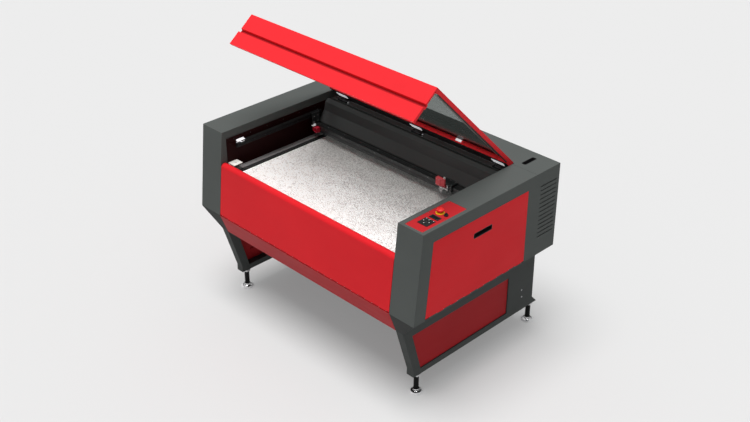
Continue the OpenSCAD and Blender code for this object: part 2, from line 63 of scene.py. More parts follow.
class Tree:
    """A small helper that adds nodes and wires them."""

    def __init__(self, name):
        self.m = bpy.data.materials.new(name)
        self.m.use_nodes = True
        self.t = self.m.node_tree
        self.t.nodes.clear()
        self.out = self.n("ShaderNodeOutputMaterial")

    def n(self, kind, **props):
        node = self.t.nodes.new(kind)
        for k, v in props.items():
            setattr(node, k, v)
        return node

    def put(self, socket, value):
        if hasattr(value, "is_output"):
            self.t.links.new(value, socket)
        else:
            socket.default_value = value

    def coords(self, scale=(1, 1, 1), rot=(0, 0, 0)):
        tc = self.n("ShaderNodeTexCoord")
        mp = self.n("ShaderNodeMapping")
        self.put(mp.inputs["Vector"], tc.outputs["Object"])
        mp.inputs["Scale"].default_value = scale
        mp.inputs["Rotation"].default_value = rot
        return mp.outputs["Vector"]

    def noise(self, vec, scale, detail=3.0, rough=0.55):
        t = self.n("ShaderNodeTexNoise")
        self.put(t.inputs["Vector"], vec)
        t.inputs["Scale"].default_value = scale
        t.inputs["Detail"].default_value = detail
        t.inputs["Roughness"].default_value = rough
        return t.outputs["Fac"]

    def voronoi(self, vec, scale, feature="F1", out="Distance"):
        t = self.n("ShaderNodeTexVoronoi", feature=feature)
        self.put(t.inputs["Vector"], vec)
        t.inputs["Scale"].default_value = scale
        return t.outputs[out]

    def ramp(self, fac, stops, interp="LINEAR"):
        r = self.n("ShaderNodeValToRGB")
        r.color_ramp.interpolation = interp
        el = r.color_ramp.elements
        while len(el) > 1:
            el.remove(el[-1])
        for i, (p, c) in enumerate(stops):
            e = el[0] if i == 0 else el.new(p)
            e.position = p
            e.color = (*c, 1) if len(c) == 3 else c
        self.put(r.inputs["Fac"], fac)
        return r.outputs["Color"]

    def math(self, op, a, b=0.0, clamp=False):
        m = self.n("ShaderNodeMath", operation=op, use_clamp=clamp)
        self.put(m.inputs[0], a)
        self.put(m.inputs[1], b)
        return m.outputs[0]

    def mix(self, fac, a, b, blend="MIX"):
        m = self.n("ShaderNodeMix", data_type="RGBA", blend_type=blend)
        self.put(m.inputs["Factor"], fac)
        self.put(m.inputs["A"], a)
        self.put(m.inputs["B"], b)
        return m.outputs["Result"]

    def maprange(self, v, a, b, c, d):
        m = self.n("ShaderNodeMapRange")
        self.put(m.inputs["Value"], v)
        for k, x in zip(("From Min", "From Max", "To Min", "To Max"), (a, b, c, d)):
            m.inputs[k].default_value = x
        return m.outputs["Result"]

    def bump(self, height, strength, dist=0.001):
        b = self.n("ShaderNodeBump")
        b.inputs["Strength"].default_value = strength
        b.inputs["Distance"].default_value = dist
        self.put(b.inputs["Height"], height)
        return b.outputs["Normal"]

    def bsdf(self, **kw):
        p = self.n("ShaderNodeBsdfPrincipled")
        for k, v in kw.items():
            key = k.replace("_", " ")
            key = {"IOR": "IOR"}.get(key, key)
            self.put(p.inputs[key], v)
        self.put(self.out.inputs["Surface"], p.outputs["BSDF"])
        return p


def c4(c):
    return (c[0], c[1], c[2], 1.0)


def scaled(c, k):
    return (min(1, c[0] * k), min(1, c[1] * k), min(1, c[2] * k))


def powder(name, base, rough=0.42, grain=0.25, coat=0.0, cloud=0.05, spec=0.5):
    """Powder-coated sheet metal: orange-peel bump, fine speckle, faint handling smears."""
    t = Tree(name)
    v = t.coords()
    big = t.noise(v, 2.3, 4.0)
    fine = t.noise(v, 900.0, 2.0)
    peel = t.noise(v, 260.0, 2.0)
    col = t.ramp(big, [(0.3, scaled(base, 1 - cloud)), (0.7, scaled(base, 1 + cloud))])
    col = t.mix(0.10, col, t.ramp(fine, [(0.40, scaled(base, 0.72)), (0.60, scaled(base, 1.22))]))
    smear = t.noise(t.coords((1.0, 1.0, 5.0)), 3.1, 5.0, 0.65)
    r = t.maprange(smear, 0.3, 0.75, rough - 0.05, rough + 0.07)
    h = t.math("ADD", t.math("MULTIPLY", fine, 0.35), peel)
    b = t.bsdf(Base_Color=col, Roughness=r, Normal=t.bump(h, grain, 0.0004))
    b.inputs["Specular IOR Level"].default_value = spec
    b.inputs["Coat Weight"].default_value = coat
    b.inputs["Coat Roughness"].default_value = 0.22
    MATS[name] = t.m
    return t.m


def metal(name, base, rough=0.3, axis=0, streak=0.12, scale=700.0):
    """Brushed or extruded metal, drawn along one axis."""
    t = Tree(name)
    s = [1.0, 1.0, 1.0]
    s[axis] = 0.015
    v = t.coords(tuple(s))
    brush = t.noise(v, scale, 3.0, 0.6)
    wide = t.noise(t.coords(), 9.0, 4.0)
    col = t.mix(streak, t.ramp(wide, [(0.3, scaled(base, 0.93)), (0.7, scaled(base, 1.05))]),
                t.ramp(brush, [(0.3, scaled(base, 0.55)), (0.7, scaled(base, 1.35))]))
    r = t.maprange(brush, 0.3, 0.7, rough - 0.06, rough + 0.10)
    t.bsdf(Base_Color=col, Roughness=r, Metallic=1.0, Normal=t.bump(brush, 0.12, 0.0003))
    MATS[name] = t.m
    return t.m


def plastic(name, base, rough=0.5, grain=0.3, scale=1500.0, coat=0.0):
    t = Tree(name)
    v = t.coords()
    g = t.voronoi(v, scale)
    wide = t.noise(v, 14.0, 4.0)
    col = t.ramp(wide, [(0.3, scaled(base, 0.92)), (0.7, scaled(base, 1.08))])
    r = t.maprange(wide, 0.3, 0.7, rough - 0.05, rough + 0.06)
    b = t.bsdf(Base_Color=col, Roughness=r, Normal=t.bump(g, grain, 0.0003))
    b.inputs["Coat Weight"].default_value = coat
    b.inputs["Coat Roughness"].default_value = 0.1
    MATS[name] = t.m
    return t.m


RED = (0.69, 0.017, 0.024)
GREY = (0.090, 0.098, 0.094)

powder("casing_grey", GREY, 0.60, 0.35, 0.0, 0.05, 0.06)
powder("gusset_grey", (0.045, 0.048, 0.047), 0.60, 0.35, 0.0, 0.05, 0.06)
powder("stand_grey", (0.066, 0.071, 0.069), 0.60, 0.35, 0.0, 0.05, 0.06)
# painted shade: a darker copy of the red for the stand panels, which sit in shade under the body
powder("stand_red_painted_shade", (0.36, 0.013, 0.017), 0.50, 0.28, 0.0, 0.05, 0.07)
# painted shade: a darker copy of the red for the chin, which faces down into shade
powder("chin_red_painted_shade", (0.40, 0.013, 0.018), 0.46, 0.25, 0.0, 0.05, 0.10)
powder("frame_dark", (0.010, 0.009, 0.0095), 0.36, 0.3, 0.0, 0.08, 0.22)
powder("plenum_dark", (0.058, 0.059, 0.059), 0.42, 0.25, 0.0, 0.05, 0.3)
powder("panel_red", RED, 0.48, 0.28, 0.0, 0.05, 0.07)
powder("door_red", RED, 0.46, 0.25, 0.0, 0.05, 0.07)
powder("lid_red", (0.80, 0.026, 0.034), 0.44, 0.22, 0.0, 0.05, 0.07)
powder("control_red", (0.46, 0.022, 0.027), 0.46, 0.25, 0.0, 0.05, 0.07)
powder("bracket_white", (0.96, 0.94, 0.88), 0.45, 0.2)
metal("aluminium", (0.80, 0.80, 0.81), 0.32, 0)
metal("alu_y", (0.80, 0.80, 0.81), 0.32, 1)
metal("beam_dark", (0.115, 0.118, 0.120), 0.38, 0, 0.10)
metal("table_alu", (0.31, 0.30, 0.30), 0.55, 1, 0.20)
metal("steel", (0.60, 0.60, 0.61), 0.28, 2)
metal("stainless", (0.74, 0.74, 0.75), 0.22, 0, 0.05, 300.0)
metal("zinc", (0.95, 0.95, 0.96), 0.45, 0, 0.05, 300.0)
MATS["zinc"].node_tree.nodes["Principled BSDF"].inputs["Metallic"].default_value = 0.10
MATS["table_alu"].node_tree.nodes["Principled BSDF"].inputs["Metallic"].default_value = 0.0
plastic("black_plastic", (0.014, 0.014, 0.015), 0.45, 0.35)
plastic("rubber_black", (0.012, 0.012, 0.012), 0.72, 0.5, 900.0)
plastic("key_plastic", (0.72, 0.72, 0.70), 0.45, 0.15)
plastic("estop_yellow", (0.86, 0.52, 0.015), 0.35, 0.12, 900.0, 0.3)
plastic("estop_red", (0.78, 0.020, 0.018), 0.28, 0.08, 700.0, 0.5)
plastic("head_red", (0.98, 0.10, 0.12), 0.40, 0.1, 700.0, 0.1)
# painted light: bright plating that glows (emission) so the hinge plates, catch and idler brackets stay bright in shade
plastic("zinc_painted_glow", (0.96, 0.96, 0.97), 0.35, 0.1, 900.0)
_b = MATS["zinc_painted_glow"].node_tree.nodes["Principled BSDF"]
_b.inputs["Emission Color"].default_value = (0.95, 0.96, 1.0, 1)
_b.inputs["Emission Strength"].default_value = 0.42
powder("wall_maroon", (0.016, 0.0012, 0.0014), 0.45, 0.3, 0.0, 0.08, 0.05)
# painted shade: darker red for the wall of the lid's grip groove
powder("groove_red_painted_shade", (0.24, 0.005, 0.008), 0.5, 0.2, 0.0, 0.05, 0.05)
powder("bead_grey", (0.20, 0.19, 0.18), 0.45, 0.2, 0.0, 0.05, 0.2)
# painted shade: darker red for the floor of the lid's grip groove
powder("groove_mid_painted_shade", (0.43, 0.014, 0.020), 0.5, 0.2, 0.0, 0.05, 0.05)
# painted light: lighter grey for the floor of the deck channel, which lies in shade
powder("channel_grey_painted_light", (0.17, 0.175, 0.175), 0.5, 0.25, 0.0, 0.05, 0.2)
plastic("mount_red", (0.55, 0.012, 0.035), 0.35, 0.1, 700.0, 0.2)


def make_display():
    t = Tree("display_glass")
    v = t.coords()
    smear = t.noise(v, 60.0, 3.0)
    t.bsdf(Base_Color=(0.006, 0.007, 0.009, 1), Roughness=t.maprange(smear, 0.3, 0.7, 0.06, 0.16))
    MATS["display_glass"] = t.m


def make_window():
    """Smoked safety glazing: each face lets part of the light straight through and keeps a thin gloss."""
    t = Tree("window")
    v = t.coords()
    haze = t.noise(v, 5.0, 4.0)
    tint = t.ramp(haze, [(0.3, (0.485, 0.505, 0.495)), (0.7, (0.515, 0.535, 0.525))])
    tr = t.n("ShaderNodeBsdfTransparent")
    t.put(tr.inputs["Color"], tint)
    gl = t.n("ShaderNodeBsdfGlossy")
    t.put(gl.inputs["Roughness"], t.maprange(t.noise(v, 30.0), 0.3, 0.7, 0.03, 0.08))
    lw = t.n("ShaderNodeLayerWeight")
    lw.inputs["Blend"].default_value = 0.5
    fac = t.math("ADD", 0.02, t.math("MULTIPLY", t.math("POWER", lw.outputs["Facing"], 4.0), 0.20))
    ms = t.n("ShaderNodeMixShader")
    t.put(ms.inputs[0], fac)
    t.put(ms.inputs[1], tr.outputs[0])
    t.put(ms.inputs[2], gl.outputs[0])
    t.put(t.out.inputs["Surface"], ms.outputs[0])
    MATS["window"] = t.m


def make_foot():
    """Blackened threaded stem and dark polished cup, split by height; the rolled rim is a plain bright white, a painted
    highlight.
    """
    t = Tree("foot")
    tc = t.n("ShaderNodeTexCoord")
    sep = t.n("ShaderNodeSeparateXYZ")
    t.put(sep.inputs[0], tc.outputs["Object"])
    z = sep.outputs["Z"]
    stem = t.math("GREATER_THAN", z, 0.0235)
    cup = t.maprange(z, 0.0078, 0.0090, 0.0, 1.0)
    wide = t.noise(t.coords(), 40.0, 3.0)
    # painted highlight: the rim below the cup is a plain bright white with no metal, standing in for the chrome's
    # reflection
    rim = t.ramp(wide, [(0.3, (0.86, 0.86, 0.87)), (0.7, (0.95, 0.95, 0.96))])
    col = t.mix(stem, rim, (0.008, 0.008, 0.008, 1))
    thread = t.math("MULTIPLY", t.math("SINE", t.math("MULTIPLY", z, 2 * math.pi / 0.002)), stem)
    b = t.bsdf(Base_Color=col, Metallic=t.math("MULTIPLY", t.math("SUBTRACT", 1.0, stem), cup),
               Roughness=t.math("ADD", 0.12, t.math("MULTIPLY", stem, 0.38)), Normal=t.bump(thread, 0.5, 0.0006))
    b.inputs["Specular IOR Level"].default_value = 0.12
    MATS["foot"] = t.m


def make_honeycomb():
    """Bare expanded aluminium cell edges: bright, uneven, with burnt and dull patches."""
    t = Tree("honeycomb")
    v = t.coords()
    cell = t.voronoi(v, 210.0, "F1", "Color")
    sepc = t.n("ShaderNodeSeparateColor")
    t.put(sepc.inputs[0], cell)
    patch = t.noise(v, 7.0, 5.0, 0.6)
    fine = t.noise(v, 420.0, 2.0)
    f = t.math("ADD", t.math("MULTIPLY", sepc.outputs[0], 0.60), t.math("MULTIPLY", fine, 0.40))
    col = t.ramp(f, [(0.22, (0.66, 0.645, 0.64)), (0.45, (0.88, 0.865, 0.855)), (0.75, (1.0, 0.995, 0.985))])
    col = t.mix(0.30, col, t.ramp(patch, [(0.35, (0.86, 0.84, 0.83)), (0.65, (1.0, 0.995, 0.99))]), "MULTIPLY")
    b = t.bsdf(Base_Color=col, Metallic=0.0, Roughness=t.maprange(fine, 0.3, 0.7, 0.5, 0.7), Normal=t.bump(fine, 0.3, 0.0004))
    b.inputs["Specular IOR Level"].default_value = 0.6
    # painted light: the cell edges glow, strongest at the front of the bed and fading to nothing towards the rear under
    # the gantry
    tc = t.n("ShaderNodeTexCoord")
    sep = t.n("ShaderNodeSeparateXYZ")
    t.put(sep.inputs[0], tc.outputs["Object"])
    painted_light_fade = t.maprange(sep.outputs["Y"], -0.20, 0.15, 1.0, 0.0)
    t.put(b.inputs["Emission Color"], col)
    t.put(b.inputs["Emission Strength"], t.math("MULTIPLY", painted_light_fade, t.maprange(f, 0.25, 0.70, 0.06, 0.25)))
    MATS["honeycomb"] = t.m


def make_hinge():
    """Hinge castings: bright plated knuckles; the feet down in the channel are near-black as painted shade."""
    t = Tree("hinge")
    tc = t.n("ShaderNodeTexCoord")
    sep = t.n("ShaderNodeSeparateXYZ")
    t.put(sep.inputs[0], tc.outputs["Object"])
    # painted shade: below z 1.036, down in the channel, the castings are painted near-black
    above_painted_shade = t.math("GREATER_THAN", sep.outputs["Z"], 1.036)
    g = t.noise(t.coords(), 60.0, 3.0)
    bright = t.ramp(g, [(0.3, (0.80, 0.80, 0.81)), (0.7, (0.95, 0.95, 0.96))])
    col = t.mix(above_painted_shade, (0.010, 0.010, 0.011, 1), bright)
    t.bsdf(Base_Color=col, Metallic=0.1, Roughness=t.maprange(g, 0.3, 0.7, 0.30, 0.45), Normal=t.bump(t.noise(t.coords(), 800.0), 0.2, 0.0003))
    MATS["hinge"] = t.m


make_display(); make_window(); make_foot(); make_honeycomb(); make_hinge()

NODE_MAT = {
    "stand_frame_left": "stand_grey", "stand_frame_right": "stand_grey",
    "stand_panel_left": "stand_red_painted_shade", "stand_panel_right": "stand_red_painted_shade",
    "leveling_foot_front_left": "foot", "leveling_foot_front_right": "foot",
    "leveling_foot_rear_left": "foot", "leveling_foot_rear_right": "foot",
    "corner_gussets": "gusset_grey", "casing_left": "casing_grey", "casing_right": "casing_grey",
    "side_panel_left": "panel_red", "chamber_wall_left": "wall_maroon", "chamber_wall_right": "wall_maroon",
    "chamber_floor": "frame_dark", "rear_panel": "casing_grey", "rear_deck": "casing_grey", "front_chin": "chin_red_painted_shade",
    "exhaust_plenum": "plenum_dark", "exhaust_collars": "alu_y", "deck_pull": "black_plastic",
    "control_panel": "control_red", "keypad_bezel": "black_plastic",
    "jog_key_front": "black_plastic", "jog_key_back": "black_plastic", "jog_key_left": "black_plastic", "jog_key_right": "black_plastic",
    "estop_base": "estop_yellow", "estop_button": "estop_red", "key_switch": "black_plastic", "panel_key": "black_plastic",
    "right_side_door": "panel_red", "side_door_pull": "black_plastic", "front_door": "door_red", "door_hinge_pins": "steel",
    "lid_frame": "lid_red", "lid_front_panel": "lid_red", "lid_window": "window", "lid_seal": "rubber_black",
    "lid_hinge_leaves": "zinc_painted_glow", "lid_hinge_blocks": "hinge", "lid_hinge_pins": "stainless",
    "y_rails": "frame_dark", "gantry_beam": "beam_dark", "gantry_mirror_mount": "mount_red", "x_belt": "rubber_black",
    "carriage_plate": "beam_dark", "head_cover": "head_red", "lens_nozzle": "stainless",
    "table_frame": "table_alu", "honeycomb_bed": "honeycomb",
    "lift_screw_front_left": "steel", "lift_screw_front_right": "steel", "lift_screw_rear_left": "steel", "lift_screw_rear_right": "steel",
    "laser_tubes": "aluminium", "power_supply": "aluminium", "cooling_fans": "black_plastic", "power_inlet": "black_plastic",
    "corner_bracket": "bracket_white",
}
BEVEL = {
    "casing_left": 0.0018, "casing_right": 0.0018, "lid_frame": 0.0012, "lid_front_panel": 0.0010, "front_door": 0.0010,
    "stand_frame_left": 0.0022, "stand_frame_right": 0.0022, "corner_gussets": 0.0015, "front_chin": 0.0008,
    "right_side_door": 0.0009, "side_panel_left": 0.0009, "rear_deck": 0.0009, "exhaust_plenum": 0.0012,
    "gantry_beam": 0.0010, "head_cover": 0.0030, "carriage_plate": 0.0010, "lens_nozzle": 0.0006, "table_frame": 0.0010,
    "corner_bracket": 0.0010, "power_supply": 0.0015, "laser_tubes": 0.0015, "lid_hinge_blocks": 0.0010,
    "lid_hinge_leaves": 0.0010, "control_panel": 0.0006, "keypad_bezel": 0.0010, "side_door_pull": 0.0008,
    "deck_pull": 0.0008, "chamber_wall_left": 0.0007, "chamber_wall_right": 0.0007, "rear_panel": 0.0006,
    "stand_panel_left": 0.0009, "stand_panel_right": 0.0009, "gantry_mirror_mount": 0.0012, "power_inlet": 0.0008,
    "panel_key": 0.0006, "y_rails": 0.0008,
}
for n, o in NODES.items():
    m = MATS[NODE_MAT[n]]
    o.data.materials.clear()
    o.data.materials.append(m)
    for p in o.data.polygons:
        p.material_index = 0
    if n in BEVEL:
        w = o.modifiers.new("weld", "WELD")
        w.merge_threshold = 0.00002
        b = o.modifiers.new("bevel", "BEVEL")
        b.width = BEVEL[n]
        b.segments = 2
        b.limit_method = "ANGLE"
        b.angle_limit = math.radians(28)
        b.use_clamp_overlap = True
        b.miter_outer = "MITER_ARC"
        wn = o.modifiers.new("normals", "WEIGHTED_NORMAL")
        wn.mode = "FACE_AREA_WITH_ANGLE"
        wn.weight = 90
        wn.keep_sharp = False

# ------------------------------------------------------------------ mesh helpers
LID_A = Vector((0, 0.33835, 1.060))
LID_M = Matrix.Translation(LID_A) @ Matrix.Rotation(math.radians(-45.2), 4, "X") @ Matrix.Translation(-LID_A)


def piece(name, bm, mat, body, bevel=0.0, seg=2, smooth=35.0, lid=False):
    me = bpy.data.meshes.new(name)
    bmesh.ops.recalc_face_normals(bm, faces=bm.faces)
    bm.to_mesh(me)
    bm.free()
    if lid:
        me.transform(LID_M)
    o = bpy.data.objects.new(name, me)
    sc.collection.objects.link(o)
    me.materials.append(MATS[mat])
    if bevel:
        b = o.modifiers.new("bevel", "BEVEL")
        b.width = bevel
        b.segments = seg
        b.limit_method = "ANGLE"
        b.angle_limit = math.radians(30)
        b.use_clamp_overlap = True
    if smooth:
        for p in me.polygons:
            p.use_smooth = True
        me.set_sharp_from_angle(angle=math.radians(smooth))
    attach(o, body)
    return o


def add_box(bm, lo, hi):
    vs = [bm.verts.new((x, y, z)) for x in (lo[0], hi[0]) for y in (lo[1], hi[1]) for z in (lo[2], hi[2])]
    for f in ((0, 1, 3, 2), (4, 6, 7, 5), (0, 4, 5, 1), (2, 3, 7, 6), (0, 2, 6, 4), (1, 5, 7, 3)):
        bm.faces.new([vs[i] for i in f])
    return vs


def frame_to(axis):
    return Vector(axis).normalized().to_track_quat("Z", "Y").to_matrix().to_4x4()


def lathe(bm, prof, at, axis=(0, 0, 1), seg=32, hexes=()):
    """Turned profile of (radius, height); rings named in hexes follow a hexagon. Ends on the axis are closed."""
    m = Matrix.Translation(Vector(at)) @ frame_to(axis)
    rings = []
    for k, (r, h) in enumerate(prof):
        if r < 1e-7:
            rings.append([bm.verts.new(m @ Vector((0, 0, h)))])
            continue
        ring = []
        for i in range(seg):
            a = 2 * math.pi * i / seg
            rr = r
            if k in hexes:
                d = (a + math.pi / 6) % (math.pi / 3) - math.pi / 6
                rr = r / math.cos(d)
            ring.append(bm.verts.new(m @ Vector((rr * math.cos(a), rr * math.sin(a), h))))
        rings.append(ring)
    for a, b in zip(rings, rings[1:]):
        if len(a) == 1 and len(b) == 1:
            continue
        for i in range(seg):
            j = (i + 1) % seg
            if len(a) == 1:
                bm.faces.new((a[0], b[i], b[j]))
            elif len(b) == 1:
                bm.faces.new((a[i], b[0], a[j]))
            else:
                bm.faces.new((a[i], b[i], b[j], a[j]))
    if len(rings[0]) > 1:
        bm.faces.new(rings[0])
    if len(rings[-1]) > 1:
        bm.faces.new(rings[-1])


def screw(bm, at, axis, r=0.004):
    """Button head with a hexagon socket."""
    h = r * 0.62
    lathe(bm, [(0, -0.0004), (r, -0.0004), (r, 0.18 * h), (0.93 * r, 0.55 * h), (0.72 * r, 0.88 * h), (0.52 * r, h),
               (0.36 * r, h), (0.34 * r, 0.25 * h), (0, 0.25 * h)], at, axis, 24, hexes=(6, 7))


def countersunk(bm, at, axis, r=0.004):
    lathe(bm, [(0, -0.0003), (r, -0.0003), (r, 0.0002), (0.90 * r, 0.0006), (0.48 * r, 0.0006), (0.46 * r, -0.0001), (0, -0.0001)], at, axis, 24, hexes=(4, 5))


def prism(bm, pts, x0, x1):
    """Outline of (y, z) run along X."""
    a = [bm.verts.new((x0, y, z)) for y, z in pts]
    b = [bm.verts.new((x1, y, z)) for y, z in pts]
    n = len(pts)
    bm.faces.new(a)
    bm.faces.new(list(reversed(b)))
    for i in range(n):
        j = (i + 1) % n
        bm.faces.new((a[i], b[i], b[j], a[j]))


# ------------------------------------------------------------------ work table
def honeycomb():
    lo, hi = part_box("honeycomb_bed")
    x0, y0, z0 = lo
    x1, y1, z1 = hi
    p = 0.0098                     # cell pitch
    wall = 0.0007                  # half the wall drawn between two cells
    R, r = p / math.sqrt(3), p / math.sqrt(3) - wall * 2 / math.sqrt(3)
    zt, zb = z1 - 0.0003, z1 - 0.0052
    rnd = random.Random(7)
    verts, faces = [], []
    rim = 0.007
    rows = int((y1 - y0 - 2 * rim + 0.004) / (p * math.sqrt(3) / 2))
    cols = int((x1 - x0 - 2 * rim + 0.004) / p)
    sx = x0 + (x1 - x0 - (cols - 0.5) * p) / 2
    sy = y0 + (y1 - y0 - (rows - 1) * p * math.sqrt(3) / 2) / 2
    dirs = [(math.cos(math.radians(60 * k + 30)), math.sin(math.radians(60 * k + 30))) for k in range(6)]
    for j in range(rows):
        for i in range(cols - (j % 2)):
            cx = sx + i * p + (p / 2 if j % 2 else 0)
            cy = sy + j * p * math.sqrt(3) / 2
            base = len(verts)
            q = 1.0 + rnd.uniform(-0.07, 0.07)
            dx, dy = rnd.uniform(-0.0003, 0.0003), rnd.uniform(-0.0003, 0.0003)
            dz = -rnd.random() * 0.0002
            for c, s in dirs:
                verts.append((cx + R * c, cy + R * s, zt))
            for c, s in dirs:
                verts.append((cx + r * q * c + dx, cy + r * q * s + dy, zt + dz))
            for c, s in dirs:
                verts.append((cx + r * q * c + dx, cy + r * q * s + dy, zb))
            for k in range(6):
                l = (k + 1) % 6
                faces.append((base + k, base + l, base + 6 + l, base + 6 + k))
                faces.append((base + 6 + k, base + 6 + l, base + 12 + l, base + 12 + k))
    # rim round the cells, and the tray under them
    bm = bmesh.new()
    for a, b in (((x0, y0), (x1, y0 + rim)), ((x0, y1 - rim), (x1, y1)), ((x0, y0 + rim), (x0 + rim, y1 - rim)), ((x1 - rim, y0 + rim), (x1, y1 - rim))):
        add_box(bm, (a[0], a[1], z0), (b[0], b[1], z1))
    add_box(bm, (x0 + rim, y0 + rim, z1 - 0.0068), (x1 - rim, y1 - rim, z1 - 0.0050))
    bm.verts.ensure_lookup_table()
    off = len(verts)
    bm.verts.index_update()
    verts += [tuple(v.co) for v in bm.verts]
    faces += [tuple(off + v.index for v in f.verts) for f in bm.faces]
    bm.free()
    me = bpy.data.meshes.new("honeycomb_core")
    me.from_pydata(verts, [], faces)
    me.update()
    o = bpy.data.objects.new("honeycomb_core", me)
    sc.collection.objects.link(o)
    me.materials.append(MATS["honeycomb"])
    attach(o, "table")
    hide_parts("honeycomb_bed")


honeycomb()


def lift_screw(tag, cx, cy):
    """Trapezoidal thread, a turned tip, and the toothed pulley at the foot."""
    r1, r0, lead = 0.008, 0.0066, 0.005
    z0, z1 = 0.468, 0.829
    seg, step = 28, 0.00083
    n = int((z1 - z0) / step)
    verts, faces = [], []
    for k in range(n + 1):
        z = z0 + (z1 - z0) * k / n
        for i in range(seg):
            a = 2 * math.pi * i / seg
            ph = ((z / lead - a / (2 * math.pi)) % 1.0)
            d = abs(ph - 0.5) * 2
            rr = r0 + (r1 - r0) * min(1.0, max(0.0, (d - 0.28) / 0.34))
            verts.append((cx + rr * math.cos(a), cy + rr * math.sin(a), z))
    for k in range(n):
        for i in range(seg):
            j = (i + 1) % seg
            faces.append((k * seg + i, k * seg + j, (k + 1) * seg + j, (k + 1) * seg + i))
    bm = bmesh.new()
    vs = [bm.verts.new(v) for v in verts]
    for f in faces:
        bm.faces.new([vs[i] for i in f])
    lathe(bm, [(0.0066, 0), (0.0066, 0.001), (0.0050, 0.003), (0, 0.003)], (cx, cy, z1), seg=28)
    lathe(bm, [(0, 0.446), (0.0072, 0.446), (0.0079, 0.447), (0.0079, 0.4532), (0.026, 0.4532), (0.026, 0.4542), (0.0205, 0.4545)], (cx, cy, 0), seg=48)
    # teeth of the pulley
    t = 30
    prev = None
    m = []
    for i in range(t * 4):
        a = 2 * math.pi * i / (t * 4)
        rr = 0.022 if (i % 4) in (0, 1) else 0.0205
        m.append((cx + rr * math.cos(a), cy + rr * math.sin(a)))
    lo_ = [bm.verts.new((x, y, 0.4543)) for x, y in m]
    hi_ = [bm.verts.new((x, y, 0.4655)) for x, y in m]
    for i in range(len(m)):
        j = (i + 1) % len(m)
        bm.faces.new((lo_[i], lo_[j], hi_[j], hi_[i]))
    lathe(bm, [(0.0205, 0.4653), (0.026, 0.4656), (0.026, 0.4668), (0.012, 0.4672), (0.012, 0.4685), (0.0068, 0.469), (0.0068, 0.4675)], (cx, cy, 0), seg=48)
    o = piece("lift_screw_" + tag + "_thread", bm, "steel", "screw_" + tag, smooth=40)
    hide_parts("lift_screw_" + tag)


for tag, cx, cy in (("front_left", -0.640, -0.455), ("front_right", 0.640, -0.455), ("rear_left", -0.640, 0.192), ("rear_right", 0.640, 0.192)):
    lift_screw(tag, cx, cy)

# screws of the flanged nuts of the lift screws, under the table
bm = bmesh.new()
for cx in (-0.640, 0.640):
    for cy in (-0.455, 0.192):
        for k in range(4):
            a = math.pi / 4 + k * math.pi / 2
            screw(bm, (cx + 0.0125 * math.cos(a), cy + 0.0125 * math.sin(a), 0.778), (0, 0, -1), 0.0022)
piece("lift_nut_screws", bm, "stainless", "table")

# countersunk screws along the side strips of the table
bm = bmesh.new()
for s in (-1, 1):
    for i in range(7):
        countersunk(bm, (s * 0.646, -0.40 + i * 0.09, 0.836), (0, 0, 1), 0.0035)
piece("table_strip_screws", bm, "stainless", "table")
# painted shade: black liners down the gaps beside the bed
bm = bmesh.new()
for s in (-1, 1):
    pr = [(0.6079, 0.8345), (0.6079, 0.8032), (0.5922, 0.8032), (0.5922, 0.8330), (0.5929, 0.8330), (0.5929, 0.8042), (0.6070, 0.8042), (0.6070, 0.8345)]
    ring = [[bm.verts.new((s * x, y, z)) for x, z in pr] for y in (-0.478, 0.213)]
    for k in range(len(pr)):
        j = (k + 1) % len(pr)
        bm.faces.new((ring[0][k], ring[0][j], ring[1][j], ring[1][k]))
    bm.faces.new(ring[0])
    bm.faces.new(list(reversed(ring[1])))
piece("table_gap_painted_shade", bm, "rubber_black", "table", smooth=0)
# soft wipers clamped along the inner edges of the side strips
bm = bmesh.new()
for s in (-1, 1):
    pr = [(0.6079, 0.8355), (0.6265, 0.8360), (0.6270, 0.8364), (0.6255, 0.8368), (0.6085, 0.8366), (0.6072, 0.8360)]
    ring = [[bm.verts.new((s * x, y, z)) for x, z in pr] for y in (-0.478, 0.213)]
    for k in range(len(pr)):
        j = (k + 1) % len(pr)
        bm.faces.new((ring[0][k], ring[0][j], ring[1][j], ring[1][k]))
    bm.faces.new(ring[0])
    bm.faces.new(list(reversed(ring[1])))
piece("table_wipers", bm, "rubber_black", "table", smooth=30)

# ------------------------------------------------------------------ lid details (drawn closed, then opened)
HX = (-0.583, 0.011, 0.600)
CATCH_X = 0.337


def lp(u, n, rise=0.004):
    """Point on the lid's front slope: u runs down it, n stands out of it."""
    return (-0.528 - 0.1084 * u - 0.99411 * n, 1.068 + rise - 0.99411 * u + 0.1084 * n)


bm = bmesh.new()
for x in HX:
    prism(bm, [(0.292, 1.0334), (0.3295, 1.0334), (0.3295, 1.0366), (0.3225, 1.0368), (0.3200, 1.0384), (0.3010, 1.0384), (0.2985, 1.0368), (0.292, 1.0366)], x - 0.036, x + 0.036)
piece("lid_hinge_plates", bm, "zinc_painted_glow", "lid", 0.0008, lid=True)
bm = bmesh.new()
for x in HX:
    for s in (-1, 1):
        screw(bm, (x + s * 0.025, 0.3252, 1.0336), (0, 0, -1), 0.0020)
        screw(bm, (x + s * 0.025, 0.2968, 1.0336), (0, 0, -1), 0.0020)
piece("lid_hinge_plate_screws", bm, "stainless", "lid", lid=True)
# soft seal along the underside of the rear rail, in black as painted shade for the rail's shadowed underside
bm = bmesh.new()
prism(bm, [(0.2775, 1.0399), (0.2775, 1.0392), (0.2790, 1.0384), (0.3290, 1.0384), (0.3300, 1.0392), (0.3300, 1.0399)], -0.6665, 0.6665)
piece("lid_rear_painted_shade_seal", bm, "rubber_black", "lid", lid=True)
